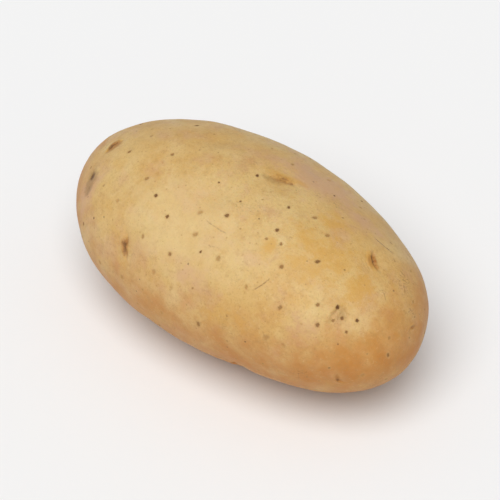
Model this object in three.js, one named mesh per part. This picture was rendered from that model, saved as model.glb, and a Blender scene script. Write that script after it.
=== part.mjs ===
// One long-oval table potato, a single natural piece, lying on its flattest side.
// Frame, in millimetres: +X runs along the tuber from the stem end to the rose end, +Z is up,
// and the origin is at the bottom centre of the bounding box, on the surface it rests on.
import * as THREE from "three";

// Driving dimensions.
const LENGTH = 102;
const WIDTH = 58;
const HEIGHT = 49;
const REST_DEPTH = 0.5; // how far the underside is flattened where the tuber rests

// The growth of the body, each as a share of the half size it belongs to.
const TIP_DROOP = 0.07; // the rose end sinks a little
const TIP_SWERVE = 0.05; // and turns towards -Y
const STEM_TAPER = 0.03; // the stem end is slightly the slimmer one
const FULLNESS = 2.12; // 2 would be an ellipse from end to end, and more makes the ends blunter

// Facets along each axis, so that they come out about 2 mm across.
const FACETS = { x: 34, y: 20, z: 20 };

// Broad swellings and flats of the flesh: where they are, how far they rise, how wide they spread.
// A place is the share of the half length along +X, and the angle around the body in degrees,
// with 0 at +Y and 90 on top.
const SWELLS = [
  { along: -0.45, around: 95, rise: 0.9, spread: 15 },
  { along: 0.38, around: 60, rise: -1.1, spread: 10 },
  { along: 0.55, around: 150, rise: 0.7, spread: 14 },
  { along: -0.5, around: 205, rise: 1.3, spread: 14 },
  { along: 0.5, around: 215, rise: -1.6, spread: 15 },
  { along: 0.1, around: 335, rise: 0.9, spread: 16 },
  { along: -0.62, around: 320, rise: -0.9, spread: 13 },
  { along: 0.8, around: 20, rise: 0.6, spread: 10 },
];

// The eyes, in the spiral that buds grow in: each about 137 degrees round from the last,
// sparse at the stem end and crowded at the rose end. The width is that of the brow.
const EYES = [
  { along: -0.76, around: 110, width: 5.5 },
  { along: -0.58, around: 248, width: 7 },
  { along: -0.46, around: 25, width: 7.5 },
  { along: -0.33, around: 160, width: 7.5 },
  { along: -0.1, around: 306, width: 9 },
  { along: 0.13, around: 81, width: 10 },
  { along: 0.3, around: 216, width: 9 },
  { along: 0.46, around: 350, width: 8 },
  { along: 0.75, around: 129, width: 6.5 },
  { along: 0.66, around: 264, width: 6.5 },
  { along: 0.71, around: 78, width: 6 },
  { along: 0.84, around: 190, width: 5.5 },
  { along: 0.88, around: 315, width: 5 },
  { along: 0.97, around: 60, width: 4.5 },
];
const EYE_DEPTH = 0.1; // of the brow's width
const EYE_REACH = 0.36; // how far the hollow runs along the tuber, of the brow's width

// The pit where the underground stem was attached.
const STEM_PIT = { along: -0.985, around: 150, width: 5, depth: 1.3 };

const HALF = new THREE.Vector3(LENGTH / 2, WIDTH / 2, HEIGHT / 2 + REST_DEPTH / 2);
const X_AXIS = new THREE.Vector3(1, 0, 0);

// The unit direction of a place on the body.
function directionOf({ along, around }) {
  const angle = THREE.MathUtils.degToRad(around);
  const ring = Math.sqrt(1 - along * along);
  return new THREE.Vector3(along, ring * Math.cos(angle), ring * Math.sin(angle));
}

// The point of the plain body in a unit direction: an ellipsoid with blunt ends.
function bodyPoint(direction) {
  const ring = Math.hypot(direction.y, direction.z);
  const size = (Math.abs(direction.x) ** FULLNESS + ring ** FULLNESS) ** (-1 / FULLNESS);
  return direction.clone().multiplyScalar(size).multiply(HALF);
}

// Which way is out there. The ellipsoid's own normal is close enough.
function outwards(direction) {
  return direction.clone().divide(HALF).normalize();
}

// A bell curve of height 1 and the given half width.
function bell(distance, halfWidth) {
  return Math.exp(-((distance / halfWidth) ** 2));
}

// How far the swellings raise the surface at a point of the plain body.
function swellRise(point) {
  return SWELLS.reduce((rise, swell) => {
    const centre = bodyPoint(directionOf(swell));
    return rise + swell.rise * bell(point.distanceTo(centre), swell.spread * Math.SQRT2);
  }, 0);
}

// How deep one eye's hollow is at a point: an oval lying across the tuber.
function eyeHollow(point, eye) {
  const direction = directionOf(eye);
  const centre = bodyPoint(direction);
  const normal = outwards(direction);
  const across = new THREE.Vector3().crossVectors(normal, X_AXIS).normalize();
  const lengthways = new THREE.Vector3().crossVectors(across, normal);
  const offset = point.clone().sub(centre);
  const beside = bell(offset.dot(across), eye.width / 2);
  const ahead = bell(offset.dot(lengthways), eye.width * EYE_REACH);
  return eye.width * EYE_DEPTH * beside * ahead;
}

// How deep the stem pit is at a point.
function pitDepth(point) {
  const centre = bodyPoint(directionOf(STEM_PIT));
  return STEM_PIT.depth * bell(point.distanceTo(centre), STEM_PIT.width / 2);
}

// The tuber's surface in a unit direction.
function surfacePoint(direction) {
  const point = bodyPoint(direction);
  const hollows = EYES.reduce((sum, eye) => sum + eyeHollow(point, eye), pitDepth(point));
  const rise = swellRise(point) - hollows;
  point.addScaledVector(outwards(direction), rise);
  const taper = 1 - STEM_TAPER * Math.max(-direction.x, 0);
  point.y *= taper;
  point.z *= taper;
  const towardsTip = Math.max(direction.x, 0) ** 2;
  point.y -= TIP_SWERVE * HALF.y * towardsTip;
  point.z -= TIP_DROOP * HALF.z * towardsTip;
  return point;
}

// A box grid blown up to a unit sphere: even four-sided patches with no poles.
function unitSphere() {
  const grid = new THREE.BoxGeometry(2, 2, 2, FACETS.x, FACETS.y, FACETS.z);
  grid.deleteAttribute("normal");
  grid.deleteAttribute("uv");
  const places = grid.getAttribute("position");
  const even = (share) => Math.tan((share * Math.PI) / 4);
  const corner = new THREE.Vector3();
  for (let i = 0; i < places.count; i += 1) {
    corner.fromBufferAttribute(places, i);
    corner.set(even(corner.x), even(corner.y), even(corner.z)).normalize();
    places.setXYZ(i, corner.x, corner.y, corner.z);
  }
  return grid;
}

// Flattens the underside by REST_DEPTH, which leaves the small spot that the tuber rests on.
function flattenUnderside(geometry) {
  geometry.computeBoundingBox();
  const level = geometry.boundingBox.min.z + REST_DEPTH;
  const places = geometry.getAttribute("position");
  for (let i = 0; i < places.count; i += 1) {
    places.setZ(i, Math.max(places.getZ(i), level));
  }
}

// Moves and scales the body so that it has its driving dimensions and stands on the origin.
function fitToFrame(geometry) {
  geometry.computeBoundingBox();
  const { min, max } = geometry.boundingBox;
  geometry.translate(-(min.x + max.x) / 2, -(min.y + max.y) / 2, -min.z);
  geometry.scale(LENGTH / (max.x - min.x), WIDTH / (max.y - min.y), HEIGHT / (max.z - min.z));
}

function potatoGeometry() {
  const geometry = unitSphere();
  const places = geometry.getAttribute("position");
  const direction = new THREE.Vector3();
  for (let i = 0; i < places.count; i += 1) {
    direction.fromBufferAttribute(places, i);
    const point = surfacePoint(direction);
    places.setXYZ(i, point.x, point.y, point.z);
  }
  flattenUnderside(geometry);
  fitToFrame(geometry);
  geometry.computeVertexNormals();
  return geometry;
}

const skin = new THREE.MeshStandardMaterial({ color: 0xd2b17c, roughness: 0.55, metalness: 0 });

const potato = new THREE.Mesh(potatoGeometry(), skin);
potato.name = "potato";

const part = new THREE.Group();
part.name = "table_potato";
part.add(potato);

export default part;
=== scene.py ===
# %% [markdown]
# # A table potato
# A potato is the swollen tip of an underground stem. It grows as one piece, so it is one mesh here too:
# there is no skin to take off and no core to put in. Its plain solid, with the right size and the broad
# swellings, is the frame that everything here is built on. What makes it a potato is what its skin
# carries: eyes under their brows, the scar of the stem, pores, scuffs, stains and a satin sheen.
# The frame is loaded first, and its box is kept: its middle and its half sizes place everything that
# follows. The frame is loaded first, and its box is kept, because the finished potato has to stay in
# it.

# %% Load the frame
import math
import random

import bmesh
import bpy
import numpy as np
from mathutils import Matrix, Vector, noise
from mathutils.bvhtree import BVHTree


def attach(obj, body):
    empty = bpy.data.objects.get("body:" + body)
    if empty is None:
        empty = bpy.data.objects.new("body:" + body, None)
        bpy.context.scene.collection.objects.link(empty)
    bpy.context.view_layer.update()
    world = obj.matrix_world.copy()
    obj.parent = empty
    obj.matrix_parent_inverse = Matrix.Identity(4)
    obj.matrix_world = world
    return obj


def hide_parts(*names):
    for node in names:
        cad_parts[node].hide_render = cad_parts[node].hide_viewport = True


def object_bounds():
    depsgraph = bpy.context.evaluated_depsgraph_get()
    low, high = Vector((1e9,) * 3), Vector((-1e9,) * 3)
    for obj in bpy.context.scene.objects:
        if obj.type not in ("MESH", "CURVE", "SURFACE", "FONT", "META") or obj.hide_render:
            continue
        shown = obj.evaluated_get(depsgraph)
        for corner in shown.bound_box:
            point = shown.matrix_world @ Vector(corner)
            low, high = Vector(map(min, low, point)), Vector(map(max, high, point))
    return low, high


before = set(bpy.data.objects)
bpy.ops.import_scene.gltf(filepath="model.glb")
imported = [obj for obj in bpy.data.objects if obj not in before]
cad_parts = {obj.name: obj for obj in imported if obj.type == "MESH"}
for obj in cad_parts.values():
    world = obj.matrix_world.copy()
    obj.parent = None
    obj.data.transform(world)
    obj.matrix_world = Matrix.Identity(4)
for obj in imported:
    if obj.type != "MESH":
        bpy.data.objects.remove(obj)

MM = 0.001
cad_low, cad_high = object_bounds()
print("the potato measures", [round(side / MM, 1) for side in cad_high - cad_low], "mm")

# %% [markdown]
# ## The body
# The solid is made of facets about 2 mm wide, which a close view would show. It could be remeshed from
# voxels, but that puts the vertices in a grid which doesn't follow the body. A copy of it is merged
# instead, its triangles are paired into four-sided faces, and a Subdivision Surface makes them a
# smooth skin with a vertex about every half millimetre. The modifier is then applied, because the
# steps that follow move its vertices one by one.

# %% Copy and smooth the body
SMOOTH_LEVELS = 2
WELD_DISTANCE = 0.001 * MM


def merged_copy(node, name):
    """A new object with a merged copy of a CAD node's mesh, its triangles paired into quads."""
    shape = bmesh.new()
    shape.from_mesh(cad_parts[node].data)
    bmesh.ops.remove_doubles(shape, verts=shape.verts, dist=WELD_DISTANCE)
    bmesh.ops.join_triangles(
        shape,
        faces=shape.faces,
        angle_face_threshold=math.pi,
        angle_shape_threshold=math.pi,
    )
    mesh = bpy.data.meshes.new(name)
    shape.to_mesh(mesh)
    shape.free()
    piece = bpy.data.objects.new(name, mesh)
    bpy.context.scene.collection.objects.link(piece)
    return piece


def apply_modifiers(piece):
    """Makes what the modifiers give the piece's own mesh."""
    graph = bpy.context.evaluated_depsgraph_get()
    finished = bpy.data.meshes.new_from_object(piece.evaluated_get(graph))
    piece.modifiers.clear()
    piece.data = finished


potato = merged_copy("potato", "potato_skin")
smooth = potato.modifiers.new("smooth body", "SUBSURF")
smooth.levels = SMOOTH_LEVELS
smooth.render_levels = SMOOTH_LEVELS
apply_modifiers(potato)
print("the smooth body has", len(potato.data.polygons), "faces")

# %% [markdown]
# ## Places on the skin
# Everything on a potato is best placed as a grower would say it: how far along from the stem end, which
# is -1, to the rose end, which is 1, and how far around, in degrees, from its left side over the top.
# A spot is such a place with three directions of its own: out of the skin, ahead to the rose end, and
# across. The nearest point of the skin gives the first one, so a spot always lies on the surface. The
# rose end droops and swerves a little, and the spots have to follow it.

# %% Spots
TIP_DROOP = 0.07
TIP_SWERVE = 0.05

middle = (cad_low + cad_high) / 2
half = (cad_high - cad_low) / 2
tree = BVHTree.FromObject(potato, bpy.context.evaluated_depsgraph_get())


def spot(along, around, turn=0.0):
    """The place on the skin, with its directions as rows: across, ahead and out. All in millimetres."""
    angle = math.radians(around)
    ring = math.sqrt(1 - along * along)
    towards_tip = max(along, 0) ** 2
    reach = Vector((along, ring * math.cos(angle), ring * math.sin(angle))) * half
    reach.y -= TIP_SWERVE * half.y * towards_tip
    reach.z -= TIP_DROOP * half.z * towards_tip
    centre, out, _face, _distance = tree.find_nearest(middle + reach)
    across = out.cross(Vector((1, 0, 0))).normalized()
    ahead = across.cross(out).normalized()
    turned = Matrix.Rotation(math.radians(turn), 3, out)
    return np.array(centre) / MM, np.array([turned @ across, turned @ ahead, out])


STEM = spot(-0.985, 150)
print("the stem's scar is at", STEM[0].round(1), "mm")

# %% [markdown]
# ## The eyes and where they are
# An eye is a bud. It sits in a shallow hollow, behind a brow: the scar of the small leaf that grew there
# while the tuber was a stem. The brow is on the stem's side and curves round the bud like an eyebrow.
# Eyes follow a spiral, each about 137 degrees round from the last, far apart at the stem end and close
# together at the rose end. The body already has the hollows, and this list says where they are, how
# wide each eye is and how far it is turned, and how brown its scar and its buds have gone. An old eye
# that has nearly grown over has no bud left to show. Widths are in millimetres and turns in degrees.

# %% The list of eyes
EYES = [
    {"along": -0.76, "around": 110, "width": 7, "turn": -25, "scar": 1.0, "bud": 0.9},
    {"along": -0.58, "around": 248, "width": 7, "turn": 10, "scar": 0.7, "bud": 0.6},
    {"along": -0.46, "around": 25, "width": 7.5, "turn": -8, "scar": 0.6, "bud": 0.5},
    {"along": -0.33, "around": 160, "width": 7.5, "turn": 12, "scar": 1.0, "bud": 0.3},
    {"along": -0.1, "around": 306, "width": 9, "turn": 5, "scar": 0.7, "bud": 0.6},
    {"along": 0.13, "around": 81, "width": 12, "turn": -68, "scar": 0.62, "bud": 0.0},
    {"along": 0.3, "around": 216, "width": 9, "turn": -12, "scar": 0.7, "bud": 0.6},
    {"along": 0.46, "around": 350, "width": 8, "turn": 6, "scar": 0.6, "bud": 0.6},
    {"along": 0.75, "around": 129, "width": 6.5, "turn": -10, "scar": 0.35, "bud": 0.3},
    {"along": 0.66, "around": 264, "width": 6.5, "turn": 14, "scar": 0.7, "bud": 0.7},
    {"along": 0.71, "around": 78, "width": 7, "turn": 61, "scar": 1.0, "bud": 1.0},
    {"along": 0.84, "around": 190, "width": 5.5, "turn": 8, "scar": 0.6, "bud": 0.6},
    {"along": 0.88, "around": 315, "width": 5, "turn": -15, "scar": 0.7, "bud": 0.7},
    {"along": 0.97, "around": 60, "width": 4.5, "turn": 0, "scar": 0.6, "bud": 0.8},
]
for eye in EYES:
    eye["spot"] = spot(eye["along"], eye["around"], eye["turn"])
print(len(EYES), "eyes, the widest", max(eye["width"] for eye in EYES), "mm")

# %% [markdown]
# ## The pores and where they are
# The small dots on a potato are its pores, which botanists call lenticels: corky points where the tuber
# breathes, up to about 1 mm across and mostly 3 to 10 mm apart. They could be a pattern in the material
# alone, but then their pits and their colour would be lined up only by chance. So each is a spot with a
# size and a tone, and both the mesh and the colours use the same list. The boldest are placed one by
# one, with a group of them round the eye on the near side of the rose end.

# %% The boldest pores
PORES = [
    {"along": -0.3, "around": 126, "radius": 0.5, "tone": 0.9},
    {"along": -0.18, "around": 132, "radius": 0.5, "tone": 0.85},
    {"along": 0.08, "around": 116, "radius": 0.55, "tone": 0.8},
    {"along": 0.03, "around": 88, "radius": 0.45, "tone": 1.0},
    {"along": -0.07, "around": 148, "radius": 0.5, "tone": 0.6},
    {"along": 0.32, "around": 108, "radius": 0.5, "tone": 0.85},
    {"along": 0.45, "around": 123, "radius": 0.55, "tone": 0.6},
    {"along": 0.54, "around": 143, "radius": 0.5, "tone": 0.55},
    {"along": 0.74, "around": 124, "radius": 0.5, "tone": 1.0},
    {"along": 0.83, "around": 124, "radius": 0.45, "tone": 0.95},
    {"along": 0.67, "around": 130, "radius": 0.45, "tone": 0.6},
    {"along": 0.71, "around": 142, "radius": 0.5, "tone": 0.7},
    {"along": 0.82, "around": 137, "radius": 0.4, "tone": 0.7},
    {"along": 0.78, "around": 129, "radius": 0.42, "tone": 0.8},
    {"along": 0.755, "around": 134, "radius": 0.4, "tone": 0.6},
    {"along": 0.31, "around": 115, "radius": 0.35, "tone": 0.5},
    {"along": 0.38, "around": 113, "radius": 0.36, "tone": 0.6},
    {"along": 0.5, "around": 92, "radius": 0.55, "tone": 0.45},
    {"along": -0.39, "around": 102, "radius": 0.45, "tone": 0.6},
    {"along": -0.25, "around": 148, "radius": 0.45, "tone": 0.4},
]

chance = random.Random(4)
for pore in PORES:
    pore["spot"] = spot(pore["along"], pore["around"], chance.uniform(-40, 40))
    pore["stretch"] = chance.uniform(1.0, 1.3)
print(len(PORES), "pores placed by hand")

# %% [markdown]
# ## The rest of the pores
# The others are scattered with a seeded random number generator, so that every run gives the same ones.
# A place is drawn and kept only if no other pore is too near and no eye or stem's scar is under it. The
# smallest distance is drawn too: a fixed one would spread the pores as evenly as a printed pattern. Most
# come out small and pale, because the drawn numbers are raised to a power before they are used.

# %% Scatter the other pores
PORE_TRIES = 900
PORE_GAPS = (3.2, 10.5)
SMALLEST_PORE = 0.2
PORE_GROWTH = 0.38
EYE_CLEARANCE = 0.42
STEM_CLEARANCE = 4.9


def clear_of_others(centre, gap):
    """True if no pore is nearer than the gap, and no eye or stem's scar is under the place."""
    if np.linalg.norm(centre - STEM[0]) < STEM_CLEARANCE:
        return False
    for pore in PORES:
        if np.linalg.norm(centre - pore["spot"][0]) < gap:
            return False
    for eye in EYES:
        if np.linalg.norm(centre - eye["spot"][0]) < EYE_CLEARANCE * eye["width"]:
            return False
    return True


for _try in range(PORE_TRIES):
    place = spot(chance.uniform(-0.97, 0.99), chance.uniform(0, 360), chance.uniform(-50, 50))
    radius = SMALLEST_PORE + PORE_GROWTH * chance.random() ** 1.5
    tone = chance.uniform(0.35, 1.0) ** 3
    stretch = chance.uniform(1.0, 1.5)
    if clear_of_others(place[0], chance.uniform(*PORE_GAPS)):
        PORES.append({"spot": place, "radius": radius, "tone": tone, "stretch": stretch})
print(len(PORES), "pores")

# %% [markdown]
# ## Finer faces where the detail is
# Half a millimetre between vertices is enough for the skin, but not for a brow or a pore. Subdividing
# the whole body again would quadruple its faces for nothing. So only the edges near an eye, a pore or
# the stem's scar are cut in half, once more, and the faces between them are filled in as a grid. A zone
# is as wide as the mark it is for: a share of an eye's width, or a number of a pore's radii.

# %% Refine around the eyes and pores
EYE_ZONE = 0.62
PORE_ZONE = 1.9
STEM_ZONE = 7.0


def fine_zones():
    """The middle and the reach, in millimetres, of each place that needs finer faces."""
    zones = [(STEM[0], STEM_ZONE)]
    zones += [(eye["spot"][0], EYE_ZONE * eye["width"]) for eye in EYES]
    zones += [(pore["spot"][0], PORE_ZONE * pore["radius"] * pore["stretch"]) for pore in PORES]
    return zones


def refine(piece, zones):
    """Halves the edges whose two ends both lie in one of the zones."""
    shape = bmesh.new()
    shape.from_mesh(piece.data)
    places = np.array([vertex.co for vertex in shape.verts]) / MM
    inside = np.zeros(len(places), dtype=bool)
    for centre, reach in zones:
        inside |= np.linalg.norm(places - centre, axis=1) < reach
    edges = [edge for edge in shape.edges if all(inside[v.index] for v in edge.verts)]
    bmesh.ops.subdivide_edges(shape, edges=edges, cuts=1, use_grid_fill=True, smooth=0.0)
    many_sided = [face for face in shape.faces if len(face.verts) > 4]
    bmesh.ops.triangulate(shape, faces=many_sided)
    shape.to_mesh(piece.data)
    shape.free()


refine(potato, fine_zones())
triangles = sum(len(face.vertices) - 2 for face in potato.data.polygons)
print("the refined skin has", triangles, "triangles")

# %% [markdown]
# ## Raising and pressing the skin
# From here on the skin is worked like clay. Every step adds to one number for each vertex: how far it
# will be moved out along the skin's own direction, in millimetres. Masks are collected in the same way:
# numbers between 0 and 1 that later tell the material where the skin is scarred, stained or corky. Where
# two marks of a kind overlap, a mask keeps the stronger, so that they don't add up to a dark seam.

# %% Read the vertices
count = len(potato.data.vertices)
points = np.empty(count * 3)
potato.data.vertices.foreach_get("co", points)
points = points.reshape(count, 3) / MM
outwards = np.empty(count * 3)
potato.data.vertices.foreach_get("normal", outwards)
outwards = outwards.reshape(count, 3)
rise = np.zeros(count)
masks = {}


def mask(name):
    """The mask of that name, made empty the first time."""
    return masks.setdefault(name, np.zeros(count))


def paint(name, values):
    """Adds to a mask, where the values are higher than what it holds."""
    mask(name)[:] = np.maximum(mask(name), np.clip(values, 0, 1))


def bell(distance, width):
    """1 at no distance, falling smoothly to nothing over about twice the width."""
    return np.exp(-((distance / width) ** 2))


def seen_from(place):
    """How far each vertex lies from a spot: across, ahead and out, in millimetres."""
    centre, directions = place
    return ((points - centre) @ directions.T).T


print(count, "vertices to work on")

# %% [markdown]
# ## The lie of the skin
# No potato is as even as its solid. Its skin has low swells and dents a few millimetres wide, where it
# grew against stones and soil, and they break up the sheen. Smooth noise at three scales gives both,
# and the finest of them keeps a close view from looking moulded.

# %% Swells and dents
SWELLS = [
    {"size": 13.0, "height": 0.35},
    {"size": 5.0, "height": 0.1},
    {"size": 2.2, "height": 0.025},
]


def waves(size, seed):
    """Smooth noise between about -1 and 1, with bumps of that size in millimetres."""
    shift = Vector((seed * 17.3, seed * 5.1, seed * 9.7))
    return np.array([noise.noise(Vector(point) / size + shift) for point in points])


for number, swell in enumerate(SWELLS):
    rise += swell["height"] * waves(swell["size"], number + 1)
print("swells and dents within", round(float(abs(rise).max()), 2), "mm")

# %% [markdown]
# ## The eyes' brows and buds
# The brow could be a curve laid on the skin, but a real one has no seam: it is a fold of the skin,
# steep on the bud's side and gentle on the other. So it is raised out of the mesh. Its line is a
# parabola in the eye's own directions, which opens to the rose end. Inside it is a crease, behind it
# are faint folds, and its middle is scarred brown. All measures here are shares of the eye's width.

# %% The brow of an eye
BROW_BACK = 0.17
BROW_HEIGHT = 0.034
BROW_HALF_SPAN = 0.46
BROW_STEEP_SIDE = 0.06
BROW_GENTLE_SIDE = 0.15
CREASE_DEPTH = 0.032
CREASE_AT = 0.1
CREASE_WIDTH = 0.06
FOLD_HEIGHT = 0.005
FOLD_GAP = 0.12
SCAR_LINE_AT = 0.06
SCAR_HALF_SPAN = 0.4


def carve_brow(eye, across, from_brow):
    """The lift of one eye's brow, with the crease inside it and the faint folds behind it."""
    ends = np.clip(1 - (across / BROW_HALF_SPAN) ** 2, 0, 1)
    ridge = bell(from_brow, np.where(from_brow > 0, BROW_STEEP_SIDE, BROW_GENTLE_SIDE))
    crease = bell(from_brow - CREASE_AT, CREASE_WIDTH)
    folds = np.cos(2 * math.pi * from_brow / FOLD_GAP) * bell(from_brow + 0.2, 0.16)
    line_ends = np.clip(1 - (across / SCAR_HALF_SPAN) ** 2, 0, 1)
    line = line_ends * bell(from_brow - SCAR_LINE_AT, eye["spread"])
    paint("scar", eye["scar"] * line * (0.75 + 0.5 * ripples))
    return eye["relief"] * ends * (BROW_HEIGHT * ridge - CREASE_DEPTH * crease + FOLD_HEIGHT * folds)


ripples = waves(1.6, 9)
print("ripples for ragged edges between", ripples.min().round(2), "and", ripples.max().round(2))

# %% [markdown]
# ## The buds, and carving every eye
# The buds are small domes just inside the brow: a main one, and on many eyes one or two beside it. Every
# eye gets its own bend, lean and number of buds. A wide eye is an old one that the growing tuber has
# stretched, so its relief is lower and its scar is more spread out. Skin that lies far above or below
# the eye is on the potato's other side, so it is treated as far off.

# %% Carve the eyes
BUD_SIDES = [-0.15, 0.14]
BUD_RADII = (0.07, 0.09)
WIDE_EYE = 10
EYE_THICKNESS = 0.6
FAR_OFF = 9.0


def carve_buds(eye, across, ahead):
    """The lift of one eye's buds: a main one, with up to two smaller ones beside it."""
    lift = np.zeros(count)
    sides = [0.0] + chance.sample(BUD_SIDES, eye["buds"] - 1)
    for side in sides:
        radius = chance.uniform(*BUD_RADII) * (1.0 if side == 0 else 0.6)
        away = np.hypot(across - side, ahead - chance.uniform(-0.02, 0.05))
        dome = bell(away, radius)
        lift += 0.5 * radius * dome
        paint("bud", eye["bud"] * bell(away, 0.8 * radius))
    return lift


for eye in EYES:
    eye["spread"], eye["relief"] = (0.15, 0.5) if eye["width"] > WIDE_EYE else (0.1, 1.6)
    eye["buds"] = chance.choice([1, 2, 3])
    bend, lean = chance.uniform(0.55, 1.1), chance.uniform(-0.18, 0.18)
    across, ahead, out = seen_from(eye["spot"]) / eye["width"]
    ahead = ahead + 0.05 * ripples + lean * across
    here = abs(out) < EYE_THICKNESS
    from_brow = np.where(here, ahead + BROW_BACK - bend * across**2, FAR_OFF)
    lift = carve_brow(eye, across, from_brow)
    if eye["bud"] > 0:
        lift += here * carve_buds(eye, np.where(here, across, FAR_OFF), ahead)
    paint("hollow", eye["scar"] * bell(across, 0.36) * bell(from_brow - 0.1, 0.17))
    rise += eye["width"] * lift
print("the highest brow or bud stands", round(float(rise.max()), 2), "mm proud")

# %% [markdown]
# ## The stem's scar
# At one end is the scar where the potato came off its underground stem: a small pit with a corky rim,
# fine wrinkles that run out from it, and a dry stub in the middle. It could be left out, as it faces
# away in most views, but a potato that is picked up and turned is known by it. Each part is a bell
# turned round the scar's middle, at its own distance, with noise that makes the circles ragged.

# %% Press in the stem's scar
SCAR_RADIUS = 2.3
SCAR_FOLDS = 9
SCAR_THICKNESS = 6
SCAR_PARTS = {
    "rim": {"at": SCAR_RADIUS, "width": 0.7, "height": 0.4},
    "crease": {"at": 1.3, "width": 0.5, "height": -0.55},
    "stub": {"at": 0.0, "width": 0.8, "height": 0.75},
}

across, ahead, out = seen_from(STEM)
grain = waves(0.8, 12)
away = np.hypot(across, ahead) + 0.5 * ripples + 0.35 * grain
near_stem = abs(out) < SCAR_THICKNESS
folds = np.sin(SCAR_FOLDS * np.arctan2(across, ahead) + 2.5 * ripples)
for part in SCAR_PARTS.values():
    rise += near_stem * part["height"] * bell(away - part["at"], part["width"])
rise += near_stem * 0.14 * folds * bell(away - 3.2, 1.8)
paint("cork", near_stem * (1.3 - away / (1.35 * SCAR_RADIUS)))
paint("scar", near_stem * bell(away - 1.35, 0.42))
paint("scar", near_stem * 0.55 * np.clip(-folds, 0, 1) * bell(away - 2.9, 1.0))
print("the stem's scar is", 2 * SCAR_RADIUS, "mm wide")

# %% [markdown]
# ## The pores' pits, and a map for their colour
# Each pore is a shallow pit with a slightly raised lip. Its colour needs a crisp edge, finer than the
# mesh. A mask would blur it from vertex to vertex, so the skin carries a small map instead: how far
# every vertex lies from its nearest pore, across and ahead, counted in that pore's radii. The material
# can work out the distance at any point between vertices, and draw a round dot there. A third number
# fades the map out before the next pore's begins, and another attribute holds the pore's tone.

# %% Press in the pores
PIT_DEPTH = 0.17
LIP_HEIGHT = 0.07
MAP_REACH = 2.5
MAP_FADE = 0.5
SKIN_DEPTH = 4

pore_map = np.zeros((count, 3))
pore_tone = np.zeros(count)
nearest = np.full(count, np.inf)
for pore in PORES:
    across, ahead, out = seen_from(pore["spot"])
    across = across / (pore["radius"] * pore["stretch"])
    ahead = ahead / pore["radius"]
    away = np.hypot(across, ahead)
    away[abs(out) > SKIN_DEPTH] = np.inf
    rise += pore["radius"] * (LIP_HEIGHT * bell(away - 1.3, 0.45) - PIT_DEPTH * bell(away, 0.75))
    closer = away < nearest
    nearest[closer] = away[closer]
    pore_tone[closer] = pore["tone"]
    pore_map[closer, 0] = across[closer]
    pore_map[closer, 1] = ahead[closer]
pore_map[:, 2] = np.clip((MAP_REACH - nearest) / MAP_FADE, 0, 1)
print("pits up to", round(PIT_DEPTH * max(pore["radius"] for pore in PORES), 2), "mm deep")

# %% [markdown]
# ## Scratches
# A potato is dug, washed and tipped into boxes, so its skin has a few thin scratches. They use the same
# kind of map as the pores: the distance from the scratch's line in millimetres, and the way along it as
# a share of its half length. A place here is a spot's along, around and turn.

# %% The list of scratches
SCRATCHES = [
    {"place": (0.66, 62, 20), "length": 6.5, "bend": 0.03, "dark": 1.3},
    {"place": (0.42, 137, 62), "length": 5.5, "bend": 0.05, "dark": 1.0},
    {"place": (0.07, 124, -2), "length": 7.5, "bend": 0.02, "dark": 0.6},
    {"place": (0.12, 133, 15), "length": 3.0, "bend": 0.08, "dark": 0.5},
    {"place": (0.84, 90, -20), "length": 4.0, "bend": -0.05, "dark": 0.6},
]
SCATTERED_SCRATCHES = 16

for _number in range(SCATTERED_SCRATCHES):
    place = (chance.uniform(-0.8, 0.85), chance.uniform(165, 400), chance.uniform(-70, 70))
    size = {"length": chance.uniform(3, 8), "bend": chance.uniform(-0.06, 0.06)}
    SCRATCHES.append({"place": place, "dark": chance.uniform(0.2, 0.6), **size})

print(len(SCRATCHES), "scratches")

# %% Map the scratches
SCRATCH_REACH = 1.6
SCRATCH_FADE = 0.6

scratch_map = np.zeros((count, 3))
closest = np.full(count, np.inf)
for scratch in SCRATCHES:
    across, ahead, out = seen_from(spot(*scratch["place"]))
    across = across - scratch["bend"] * ahead**2
    share = ahead / (scratch["length"] / 2)
    beyond = np.maximum(abs(share) - 1, 0) * scratch["length"] / 2
    away = np.hypot(across, beyond)
    away[abs(out) > SKIN_DEPTH] = np.inf
    closer = away < closest
    closest[closer] = away[closer]
    scratch_map[closer, 0] = across[closer]
    scratch_map[closer, 1] = share[closer]
    scratch_map[closer, 2] = scratch["dark"]
scratch_map[:, 2] *= np.clip((SCRATCH_REACH - closest) / SCRATCH_FADE, 0, 1)
print(int((closest < SCRATCH_REACH).sum()), "vertices carry the scratches' map")
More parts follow.
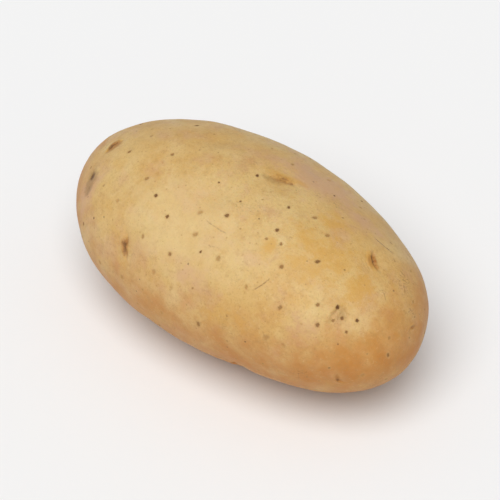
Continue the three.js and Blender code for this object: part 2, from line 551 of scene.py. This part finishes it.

# %% [markdown]
# ## Stains, and a painted sheen
# The colour of the skin isn't even either. There are pale and pinkish patches, golden ones where the
# flesh shines through, olive or brown smears by some eyes, and a nick that healed dark. Most come from
# the material's noise. These few have places of their own, so they are masks on the mesh: each is an
# oval that fades out, and noise in the material breaks its edge. The nick is a dent as well. The first
# one, the wide pale stain on the near flank where the sun falls most steeply, is not the skin's colour
# but a painted sheen.

# %% The list of stains
STAINS_AND_SHEEN = [
    # A painted sheen: the wide pale stain where the sun falls most steeply on the near flank.
    {"kind": "pale", "place": (-0.08, 129, 0), "size": (13, 24), "strength": 0.9},
    {"kind": "blush", "place": (0.22, 62, 15), "size": (8, 14), "strength": 1.0},
    {"kind": "blush", "place": (0.52, 62, 20), "size": (5, 9), "strength": 0.8},
    {"kind": "blush", "place": (0.64, 150, 0), "size": (6, 9), "strength": 0.55},
    {"kind": "blush", "place": (0.07, 152, 0), "size": (6, 10), "strength": 0.5},
    {"kind": "blush", "place": (-0.72, 150, 0), "size": (7, 5), "strength": 0.9},
    {"kind": "blush", "place": (0.2, 290, 20), "size": (9, 12), "strength": 0.7},
    {"kind": "gold", "place": (0.46, 82, 10), "size": (4, 6), "strength": 1.0},
    {"kind": "gold", "place": (0.76, 106, 0), "size": (6, 6), "strength": 1.0},
    {"kind": "gold", "place": (0.34, 118, 0), "size": (4, 3), "strength": 1.0},
    {"kind": "gold", "place": (0.54, 104, 0), "size": (13, 14), "strength": 0.8},
    {"kind": "gold", "place": (0.13, 77, 23), "size": (1.9, 6), "strength": 1.0},
    {"kind": "gold", "place": (0.7, 80, -29), "size": (2.2, 3.6), "strength": 1.0},
    {"kind": "gold", "place": (-0.75, 111, 65), "size": (2.2, 3.6), "strength": 1.0},
    {"kind": "gold", "place": (0.3, 165, 0), "size": (4, 14), "strength": 0.6},
    {"kind": "gold", "place": (-0.2, 200, 0), "size": (8, 12), "strength": 0.6},
    {"kind": "gold", "place": (-0.5, 330, 0), "size": (7, 10), "strength": 0.6},
    {"kind": "hollow", "place": (0.705, 80, -29), "size": (1.5, 2.4), "strength": 0.8},
    {"kind": "hollow", "place": (-0.75, 111, 65), "size": (1.7, 2.6), "strength": 0.9},
    {"kind": "olive", "place": (0.77, 128, 0), "size": (3.5, 2.5), "strength": 0.55},
    {"kind": "olive", "place": (0.1, 84, 20), "size": (1.6, 5), "strength": 0.6},
    {"kind": "olive", "place": (-0.74, 142, 10), "size": (4.4, 2.6), "strength": 1.0},
    {"kind": "olive", "place": (0.05, 245, 30), "size": (2, 5), "strength": 0.5},
    {"kind": "nick", "place": (-0.745, 139, 0), "size": (1.5, 1.1), "strength": 1.0},
    {"kind": "nick", "place": (-0.72, 148, 0), "size": (2.4, 1.3), "strength": 0.55},
]
STAIN_DEPTH = 12
NICK_DEPTH = 0.25

for listed_patch in STAINS_AND_SHEEN:
    across, ahead, out = seen_from(spot(*listed_patch["place"]))
    oval = np.hypot(across / listed_patch["size"][0], ahead / listed_patch["size"][1])
    paint(listed_patch["kind"], listed_patch["strength"] * bell(oval, 1.0) * (abs(out) < STAIN_DEPTH))
rise -= NICK_DEPTH * mask("nick")
print(len(STAINS_AND_SHEEN), "stains")

# %% [markdown]
# ## Painted bounce light: the deeper gold below and at the ends
# In a heap, a potato looks a deeper, warmer gold on its underside and at its two ends than on top. Most
# of that is light that the potatoes round it throw on it, which one that lies alone doesn't get. So it
# is painted in: painted bounce light, with a little of the skin's own deeper gold.
# One mask holds it: it grows as the skin turns down, and towards each end. With a sharp edge the potato
# would look dipped in a second colour. So it grows slowly, it stops well short of 1, and wide noise in
# the material makes it cloudy. The starts and reaches are in millimetres from the middle.

# %% Paint bounce light into the underside and the ends
DEEP_AT_SIDES = 0.5
DEEP_BELOW = 0.68
DEEP_AT_TIP = 0.48
DEEP_AT_STEM = 0.5
DEEP_MOST = 0.74
TIP_START, TIP_REACH = 24, 28
STEM_START, STEM_REACH = 34, 15

towards_tip = np.clip((points[:, 0] - TIP_START) / TIP_REACH, 0, 1)
towards_stem = np.clip((-STEM_START - points[:, 0]) / STEM_REACH, 0, 1)
# Painted bounce light: more where the skin faces down, and more near each end.
deep = DEEP_AT_SIDES - DEEP_BELOW * outwards[:, 2]
deep += DEEP_AT_TIP * towards_tip + DEEP_AT_STEM * towards_stem
paint("deep", np.minimum(deep, DEEP_MOST))
print("the deeper gold is", mask("deep").mean().round(2), "strong on average")

# %% [markdown]
# ## Moving the vertices
# Now the numbers are used. Each vertex moves out by its own, and none may go below the surface that the
# potato lies on, so the resting spot stays flat. The maps and masks are stored as attributes of the
# mesh, which travel with it and which the material can read by name.

# %% Move the vertices and store the attributes
points += outwards * rise[:, None]
points[:, 2] = np.maximum(points[:, 2], 0)
potato.data.vertices.foreach_set("co", (points * MM).ravel())
potato.data.update()
potato.data.shade_smooth()


def store(name, values):
    """Keeps one number, or three, for each vertex under that name."""
    kind = "FLOAT" if values.ndim == 1 else "FLOAT_VECTOR"
    field = "value" if values.ndim == 1 else "vector"
    attribute = potato.data.attributes.new(name, kind, "POINT")
    attribute.data.foreach_set(field, values.ravel())


for name, values in masks.items():
    store(name, values)
store("pore_map", pore_map)
store("pore_tone", pore_tone)
store("scratch_map", scratch_map)
print("attributes:", ", ".join(sorted([*masks, "pore_map", "pore_tone", "scratch_map"])))

# %% [markdown]
# ## Building materials with code
# A material is a small network of nodes. It could be clicked together in the editor, but then nobody
# could read it here. A few helpers keep it readable instead: one adds any node with its settings and
# inputs, and the others add a Math node, a smooth fade and a noise.

# %% Helpers for nodes
def add_node(graph, kind, inputs=None, **settings):
    """A node of that kind. Each input is a plain value or another node's output, by name or number."""
    made = graph.nodes.new(kind)
    for name, value in settings.items():
        setattr(made, name, value)
    for name, value in (inputs or {}).items():
        if isinstance(value, bpy.types.NodeSocket):
            graph.links.new(value, made.inputs[name])
        else:
            made.inputs[name].default_value = value
    return made


def calculate(graph, operation, first, second=0.0, third=0.0):
    """The output of a Math node."""
    inputs = {0: first, 1: second, 2: third}
    return add_node(graph, "ShaderNodeMath", inputs, operation=operation).outputs[0]


def fade(graph, value, start, end):
    """0 where the value is at start, 1 where it is at end, and smooth between them."""
    inputs = {"Value": value, "From Min": start, "From Max": end}
    node = add_node(graph, "ShaderNodeMapRange", inputs, interpolation_type="SMOOTHSTEP")
    return node.outputs["Result"]


def noise_value(graph, position, scale, detail=2.0, roughness=0.5):
    """A Noise Texture's value. With the position in millimetres, 1 / scale is a bump's size in them."""
    inputs = {"Vector": position, "Scale": scale, "Detail": detail, "Roughness": roughness}
    return add_node(graph, "ShaderNodeTexNoise", inputs).outputs["Fac"]


def new_group(name, inputs, outputs):
    """An empty node group with those sockets, and its input and output nodes."""
    group = bpy.data.node_groups.new(name, "ShaderNodeTree")
    for socket, kind in inputs.items():
        group.interface.new_socket(socket, in_out="INPUT", socket_type=kind)
    for socket in outputs:
        group.interface.new_socket(socket, in_out="OUTPUT", socket_type="NodeSocketFloat")
    return group, group.nodes.new("NodeGroupInput"), group.nodes.new("NodeGroupOutput")


NUMBER = "NodeSocketFloat"
VECTOR = "NodeSocketVector"
print("groups take inputs of the kinds", NUMBER, "and", VECTOR)

# %% [markdown]
# ## Patches
# The first group makes cloudy patches: smooth noise, cut off so that only its highest parts are left.
# The same group serves for pale, golden and pinkish patches and for fine mottling, each time with its
# own size and reach. Moving the position along by some tens or hundreds of millimetres makes each use
# differ.

# %% The patches group
def make_patches_group():
    """A mask of cloudy patches."""
    inputs = {"Position": VECTOR, "Size": NUMBER, "Start": NUMBER, "End": NUMBER, "Shift": NUMBER}
    group, source, result = new_group("Patches", inputs, ["Mask"])
    shifted = add_node(group, "ShaderNodeVectorMath", operation="ADD")
    group.links.new(source.outputs["Position"], shifted.inputs[0])
    group.links.new(source.outputs["Shift"], shifted.inputs[1])
    scale = calculate(group, "DIVIDE", 1.0, source.outputs["Size"])
    clouds = noise_value(group, shifted.outputs[0], scale, detail=4.0, roughness=0.6)
    mask_out = fade(group, clouds, source.outputs["Start"], source.outputs["End"])
    group.links.new(mask_out, result.inputs["Mask"])
    return group


patches_group = make_patches_group()
print("made the group", patches_group.name)

# %% [markdown]
# ## Pore marks
# This group draws the pores from their map. The distance from a pore's middle is wobbled by fine noise,
# so that no dot is a perfect disc. It gives three masks: the dark corky core, a brown ring round it, and
# a wide soft halo, where the skin round a pore is paler. Each has the distances, in radii and with about
# 0.7 of wobble in them, at which it is nothing and at which it is full.

# %% The pore group
PORE_WOBBLE = 1.4
PORE_PARTS = {"Core": (1.85, 1.2), "Ring": (2.6, 1.4), "Halo": (3.1, 1.7)}


def make_pore_group():
    """The core, the ring and the halo of the pores, from their map."""
    inputs = {"Map": VECTOR, "Position": VECTOR}
    group, source, result = new_group("Pore marks", inputs, PORE_PARTS)
    split = add_node(group, "ShaderNodeSeparateXYZ", {"Vector": source.outputs["Map"]}).outputs
    square = calculate(group, "MULTIPLY", split["X"], split["X"])
    squares = calculate(group, "MULTIPLY_ADD", split["Y"], split["Y"], square)
    away = calculate(group, "SQRT", squares)
    rough_edge = noise_value(group, source.outputs["Position"], 3.2, detail=3.0, roughness=0.6)
    wobbled = calculate(group, "MULTIPLY_ADD", rough_edge, PORE_WOBBLE, away)
    for name, (start, end) in PORE_PARTS.items():
        part = calculate(group, "MULTIPLY", fade(group, wobbled, start, end), split["Z"])
        group.links.new(part, result.inputs[name])
    return group


pore_group = make_pore_group()
print("made the group", pore_group.name)

# %% [markdown]
# ## Scratch marks
# The scratch group does the same for the scratches: a thin line where the distance is near zero, which
# wanders a little, thins out towards its ends and is broken up by noise. A Noise Texture's values lie
# round a half, so half of the wander is taken off again to keep the line in its place.

# %% The scratch group
SCRATCH_WANDER = 0.5
SCRATCH_WIDTH = 0.55


def make_scratch_group():
    """The scratches' lines, from their map."""
    inputs = {"Map": VECTOR, "Position": VECTOR, "Width": NUMBER}
    group, source, result = new_group("Scratch marks", inputs, ["Line"])
    split = add_node(group, "ShaderNodeSeparateXYZ", {"Vector": source.outputs["Map"]}).outputs
    wander = noise_value(group, source.outputs["Position"], 0.9)
    moved = calculate(group, "MULTIPLY_ADD", wander, SCRATCH_WANDER, split["X"])
    away = calculate(group, "ABSOLUTE", calculate(group, "SUBTRACT", moved, SCRATCH_WANDER / 2))
    unevenness = noise_value(group, source.outputs["Position"], 2.6)
    width = calculate(group, "MULTIPLY", source.outputs["Width"], unevenness)
    thin = fade(group, away, width, 0.0)
    ends = fade(group, calculate(group, "ABSOLUTE", split["Y"]), 1.0, 0.6)
    broken = fade(group, noise_value(group, source.outputs["Position"], 1.7), 0.3, 0.5)
    line = calculate(group, "MULTIPLY", calculate(group, "MULTIPLY", thin, ends), broken)
    group.links.new(calculate(group, "MULTIPLY", line, split["Z"]), result.inputs["Line"])
    return group


scratch_group = make_scratch_group()
print("made the group", scratch_group.name)

# %% [markdown]
# ## The skin's colours
# A waxy yellow potato is a warm buff, not brown. Its colours lie close together, from a pale straw to a
# honey gold, and only its marks are brown. The honey gold is mostly painted bounce light for the
# underside and the ends. They are given as the 0 to 255 values that a colour picker shows, and turned
# into the linear values that the renderer works with.

# %% Colours
def linear(red, green, blue):
    """A picked colour as linear red, green, blue and alpha."""
    shares = [channel / 255 for channel in (red, green, blue)]
    values = [s / 12.92 if s <= 0.04045 else ((s + 0.055) / 1.055) ** 2.4 for s in shares]
    return (*values, 1.0)


GOLD = linear(203, 162, 96)
BUFF = linear(211, 180, 120)
PALE = linear(220, 193, 142)
# The next colour is painted bounce light below and at the ends, with a little of the skin's own deeper
# gold.
BOUNCE_AND_DEEP_GOLD = linear(185, 116, 42)
BLUSH = linear(200, 157, 124)
AMBER = linear(203, 156, 76)
OLIVE = linear(146, 116, 66)
TAN = linear(172, 128, 72)
RUST = linear(158, 100, 44)
BROWN = linear(104, 72, 42)
DARK = linear(104, 69, 38)
CORK = linear(124, 90, 60)
print("the skin's gold in linear light:", [round(channel, 2) for channel in GOLD[:3]])

# %% [markdown]
# ## Masks for the coats
# Every coat of colour needs a mask that says where it goes. Some come from the mesh's attributes, some
# from the groups, and the fine flecks from a cell pattern. A mask from the mesh is as smooth as the mesh
# itself, so noise is added to it before it is faded, which breaks its edge into islands and bays.

# %% Helpers for the coats
def attribute(graph, name, output="Fac"):
    """What the mesh stores under that name."""
    return add_node(graph, "ShaderNodeAttribute", attribute_name=name).outputs[output]


def place_group(graph, group, inputs):
    """The outputs of a group's copy in a material."""
    return add_node(graph, "ShaderNodeGroup", inputs, node_tree=group).outputs


def blend_colour(graph, amount, below, above):
    """One colour over another, by that amount."""
    inputs = {0: amount, 6: below, 7: above}
    return add_node(graph, "ShaderNodeMix", inputs, data_type="RGBA", blend_type="MIX").outputs[2]


def patches(graph, position, size, start, end, shift):
    """A mask of patches of that size in millimetres."""
    inputs = {"Position": position, "Size": size, "Start": start, "End": end, "Shift": shift}
    return place_group(graph, patches_group, inputs)["Mask"]


def flecks(graph, position, gap, radius):
    """A mask of fine flecks: the points of a cell pattern that lie at the surface."""
    inputs = {"Vector": position, "Scale": 1 / gap}
    cells = add_node(graph, "ShaderNodeTexVoronoi", inputs).outputs["Distance"]
    return fade(graph, cells, radius, 0.4 * radius)


def broken_mask(graph, name, breaks, looseness=0.7, start=0.2, end=0.8):
    """A mask from the mesh with its edge broken up by noise, the more the looser it is."""
    loosened = calculate(graph, "MULTIPLY_ADD", breaks, looseness, attribute(graph, name))
    return fade(graph, loosened, start + looseness / 2, end + looseness / 2)


print("the masks on the mesh are", ", ".join(sorted(masks)))

# %% [markdown]
# ## The coats of colour
# The colour is laid on in thin coats, as a painter would: a gold ground with paler buff clouds, pale,
# pinkish and golden patches, painted bounce light that deepens the gold of the underside and the ends,
# fine mottling, the stains, among them a painted sheen, and last the marks: the eyes' hollows and scars,
# the corky stem's scar, flecks, scratches and pores. Each coat is a mask, a strength and a colour, so
# their order and their strengths can be read down a list.

# %% The skin's coats of colour
def skin_colour(graph, position, pores, scratches):
    """The skin's colour, coat over coat, with painted bounce light and a painted sheen among the coats.
    """
    breaks = noise_value(graph, position, 0.7, detail=5.0, roughness=0.7)
    stain_breaks = noise_value(graph, position, 0.3, detail=6.0, roughness=0.7)
    wide_breaks = noise_value(graph, position, 0.15, detail=5.0, roughness=0.6)
    colour = blend_colour(graph, patches(graph, position, 20, 0.34, 0.66, 0), GOLD, BUFF)
    scurf_zone = patches(graph, position, 10, 0.55, 0.72, 610)
    scurf = calculate(graph, "MULTIPLY", scurf_zone, patches(graph, position, 0.55, 0.5, 0.62, 33))
    washes = [
        (patches(graph, position, 9, 0.48, 0.76, 310), 0.5, PALE),
        (patches(graph, position, 7, 0.5, 0.7, 520), 0.42, BLUSH),
        (patches(graph, position, 6, 0.52, 0.74, 740), 0.42, AMBER),
        (patches(graph, position, 0.7, 0.55, 0.72, 430), 0.35, PALE),
        # Painted bounce light below and at the ends, with a little of the skin's own deeper gold.
        (broken_mask(graph, "deep", wide_breaks, 1.2, 0.0, 1.0), 0.88, BOUNCE_AND_DEEP_GOLD),
        (patches(graph, position, 1.8, 0.48, 0.72, 150), 0.28, TAN),
        (patches(graph, position, 1.0, 0.5, 0.7, 870), 0.2, TAN),
        (patches(graph, position, 0.45, 0.53, 0.68, 90), 0.36, TAN),
        (patches(graph, position, 0.9, 0.58, 0.74, 950), 0.22, PALE),
        (scurf, 0.4, BROWN),
        # The pale stain's coat is a painted sheen on the near flank.
        (broken_mask(graph, "pale", stain_breaks, 1.6), 0.4, PALE),
        (broken_mask(graph, "blush", stain_breaks, 1.6, 0.3, 0.9), 0.65, BLUSH),
        (broken_mask(graph, "gold", stain_breaks, 2.0, 0.35, 1.05), 0.75, AMBER),
        (broken_mask(graph, "olive", stain_breaks, 1.4, 0.3), 0.6, OLIVE),
        (broken_mask(graph, "hollow", breaks), 0.65, RUST),
        (broken_mask(graph, "bud", breaks), 0.75, RUST),
        (broken_mask(graph, "cork", breaks), 0.8, CORK),
        (broken_mask(graph, "scar", breaks, 0.9, 0.3, 0.7), 0.8, BROWN),
        (broken_mask(graph, "nick", breaks, 0.9, 0.3, 0.9), 0.95, DARK),
        (flecks(graph, position, 2.3, 0.14), 0.5, TAN),
        (flecks(graph, position, 1.3, 0.15), 0.4, TAN),
        (flecks(graph, position, 5.1, 0.07), 0.6, BROWN),
        (pores["Halo"], 0.15, BUFF),
        (pores["Ring"], 0.4, TAN),
        (scratches["Line"], 0.6, CORK),
    ]
    for amount, strength, above in washes:
        colour = blend_colour(graph, calculate(graph, "MULTIPLY", amount, strength), colour, above)
    tone = attribute(graph, "pore_tone")
    core_colour = blend_colour(graph, tone, TAN, DARK)
    core = calculate(graph, "MULTIPLY", pores["Core"], fade(graph, tone, -0.4, 1.1))
    return blend_colour(graph, core, colour, core_colour)


print("the skin has its coats")

# %% [markdown]
# ## The skin's fine relief and sheen
# Close up the skin is a net of tiny cork cells with faint wrinkles. That is finer than the mesh, so a
# Bump node makes it. Its heights are in millimetres, and its distance of one millimetre keeps them
# true. The sheen is satin: cork and scars are duller than the tight skin between them. A little light
# goes into the skin and comes out again beside it, as in wax, which softens the edge of the shade.

# %% Relief and roughness
def skin_relief(graph, position, pores, scratches):
    """The height of the fine relief, in millimetres."""
    layers = [
        (noise_value(graph, position, 0.9, detail=3.0), 0.07),
        (noise_value(graph, position, 3.2, detail=4.0, roughness=0.6), 0.045),
        (scratches["Line"], -0.05),
        (pores["Core"], -0.05),
        (attribute(graph, "scar"), -0.03),
    ]
    height = 0.0
    for amount, strength in layers:
        height = calculate(graph, "MULTIPLY_ADD", amount, strength, height)
    return height


def skin_roughness(graph, position, pores):
    """The roughness: satin, with duller marks."""
    rough = calculate(graph, "MULTIPLY_ADD", noise_value(graph, position, 0.35), 0.22, 0.4)
    for amount in (pores["Core"], attribute(graph, "scar"), attribute(graph, "cork")):
        rough = calculate(graph, "MULTIPLY_ADD", amount, 0.25, rough)
    return calculate(graph, "MINIMUM", rough, 1.0)


def make_skin_material():
    """The potato's skin."""
    material = bpy.data.materials.new("potato skin")
    material.use_nodes = True
    graph = material.node_tree
    shader = graph.nodes["Principled BSDF"]
    coordinates = add_node(graph, "ShaderNodeTexCoord").outputs["Object"]
    millimetres = add_node(graph, "ShaderNodeVectorMath", {0: coordinates}, operation="SCALE")
    millimetres.inputs["Scale"].default_value = 1 / MM
    position = millimetres.outputs[0]
    pore_inputs = {"Map": attribute(graph, "pore_map", "Vector"), "Position": position}
    pores = place_group(graph, pore_group, pore_inputs)
    scratch_inputs = {"Map": attribute(graph, "scratch_map", "Vector"), "Position": position}
    scratches = place_group(graph, scratch_group, {**scratch_inputs, "Width": SCRATCH_WIDTH})
    relief = skin_relief(graph, position, pores, scratches)
    bump = add_node(graph, "ShaderNodeBump", {"Height": relief, "Distance": MM, "Strength": 1.0})
    graph.links.new(skin_colour(graph, position, pores, scratches), shader.inputs["Base Color"])
    graph.links.new(skin_roughness(graph, position, pores), shader.inputs["Roughness"])
    graph.links.new(bump.outputs["Normal"], shader.inputs["Normal"])
    shader.inputs["Subsurface Weight"].default_value = 0.2
    shader.inputs["Subsurface Radius"].default_value = (1.0, 0.5, 0.2)
    shader.inputs["Subsurface Scale"].default_value = 2 * MM
    shader.inputs["Specular IOR Level"].default_value = 0.3
    return material


potato.data.materials.clear()
potato.data.materials.append(make_skin_material())
print("the skin's material has", len(potato.data.materials[0].node_tree.nodes), "nodes")

# %% [markdown]
# ## Taking the solid's place
# The finished skin stands for the plain solid, which is hidden. The potato has no moving parts, so there
# is only one body to ride on, the root.

# %% Put the skin on the frame
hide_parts("potato")
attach(potato, "root")
print("the skin replaces the solid")

# %% [markdown]
# ## The floor
# The potato lies on a wide matte floor. It is pale, so that it throws soft light back up at the
# underside, as a sheet of paper on a table does.

# %% The floor
FLOOR_COLOUR = (0.86, 0.86, 0.86, 1)


def make_floor():
    """A wide round floor, pale and matte."""
    shape = bmesh.new()
    bmesh.ops.create_circle(shape, cap_ends=True, segments=96, radius=3.0)
    mesh = bpy.data.meshes.new("floor")
    shape.to_mesh(mesh)
    shape.free()
    floor = bpy.data.objects.new("floor", mesh)
    bpy.context.scene.collection.objects.link(floor)
    finish = bpy.data.materials.new("floor paint")
    finish.use_nodes = True
    shader = finish.node_tree.nodes["Principled BSDF"]
    shader.inputs["Base Color"].default_value = FLOOR_COLOUR
    shader.inputs["Roughness"].default_value = 0.9
    mesh.materials.append(finish)
    return floor


make_floor()
print("the floor is laid")

# %% [markdown]
# ## The light
# The light is that of a bright day through a wide window: a large soft sun from above and in front, and
# a pale room all round that fills in the far side. An area lamp would do too, but its light falls off
# with distance, so its strength depends on where it stands. A sun has only a direction and a width, and
# the width alone sets how soft the shadow is.

# %% The sun and the room
KEY_SIDE = Vector((0.2, -0.43, 0.88))
ROOM_GLOW = 0.35
ROOM_BACKDROP = 0.8


def aim(thing, place, target):
    """Puts a light or camera at a place and points it at the target."""
    thing.location = place
    thing.rotation_euler = (target - Vector(place)).to_track_quat("-Z", "Y").to_euler()


key = bpy.data.lights.new("key light", "SUN")
key.angle = math.radians(50)
key.energy = 2.5
key_light = bpy.data.objects.new("key light", key)
bpy.context.scene.collection.objects.link(key_light)
aim(key_light, middle + KEY_SIDE, middle)


def make_world():
    """A pale room: it lights softly, and looks as pale as the floor where the camera sees it."""
    world = bpy.data.worlds.new("studio")
    world.use_nodes = True
    graph = world.node_tree
    seen = add_node(graph, "ShaderNodeLightPath").outputs["Is Camera Ray"]
    strength = calculate(graph, "MULTIPLY_ADD", seen, ROOM_BACKDROP - ROOM_GLOW, ROOM_GLOW)
    graph.links.new(strength, graph.nodes["Background"].inputs["Strength"])
    graph.nodes["Background"].inputs["Color"].default_value = (1, 1, 1, 1)
    return world


bpy.context.scene.world = make_world()
bpy.context.scene.view_settings.view_transform = "Standard"
print("the sun is", round(math.degrees(key.angle)), "degrees wide")

# %% [markdown]
# ## The camera
# A long lens keeps the shape as it would look from a step away, with no swollen near end. It looks down
# at 42 degrees, and from as far round towards the rose end, so that the top, a side and an end show.

# %% The camera
AZIMUTH = math.radians(42)
ELEVATION = math.radians(42)
LENS = 200
VIEW_WIDTH = 0.122

camera_data = bpy.data.cameras.new("camera")
camera_data.lens = LENS
camera = bpy.data.objects.new("camera", camera_data)
bpy.context.scene.collection.objects.link(camera)
back = Vector((math.sin(AZIMUTH), -math.cos(AZIMUTH), math.tan(ELEVATION))).normalized()
distance = VIEW_WIDTH * LENS / camera_data.sensor_width
aim(camera, middle + back * distance, middle)
bpy.context.scene.camera = camera
print("the camera is", round(distance, 2), "m away")
